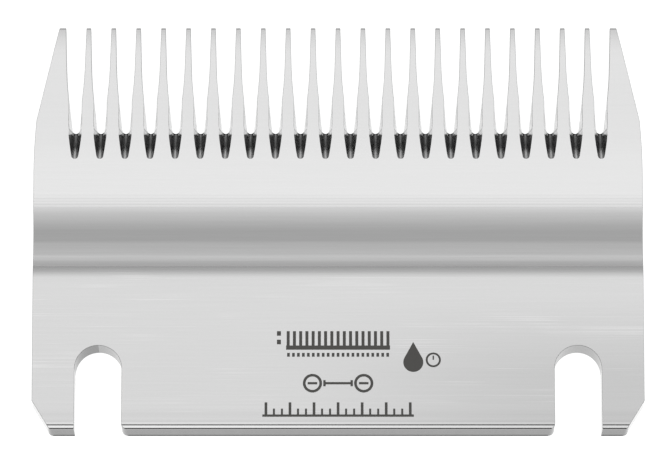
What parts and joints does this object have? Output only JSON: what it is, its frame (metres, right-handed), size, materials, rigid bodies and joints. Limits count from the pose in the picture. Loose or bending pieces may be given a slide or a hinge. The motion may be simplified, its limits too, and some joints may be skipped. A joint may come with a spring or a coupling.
{
  "type": "clipper comb blade",
  "caption": "Lower comb blade for an electric livestock clipper: toothed ground steel plate with a relief channel and open-ended screw slots.",
  "frame": {"origin": "centre of the blade's box, on the plane of its flat skin side", "axes": "+X across the row of teeth, +Y towards the tooth tips, +Z out of the ground cutting face"},
  "size_m": [0.0768, 0.0522, 0.004],
  "materials": {
    "ground_tool_steel": "hardened tool steel, fine surface grinding across the blade on the cutting lands, satin in the relief channel, dark wheel-cut gullets"
  },
  "bodies": {
    "root": {"comb_blade": "ground_tool_steel"}
  },
  "joints": []
}
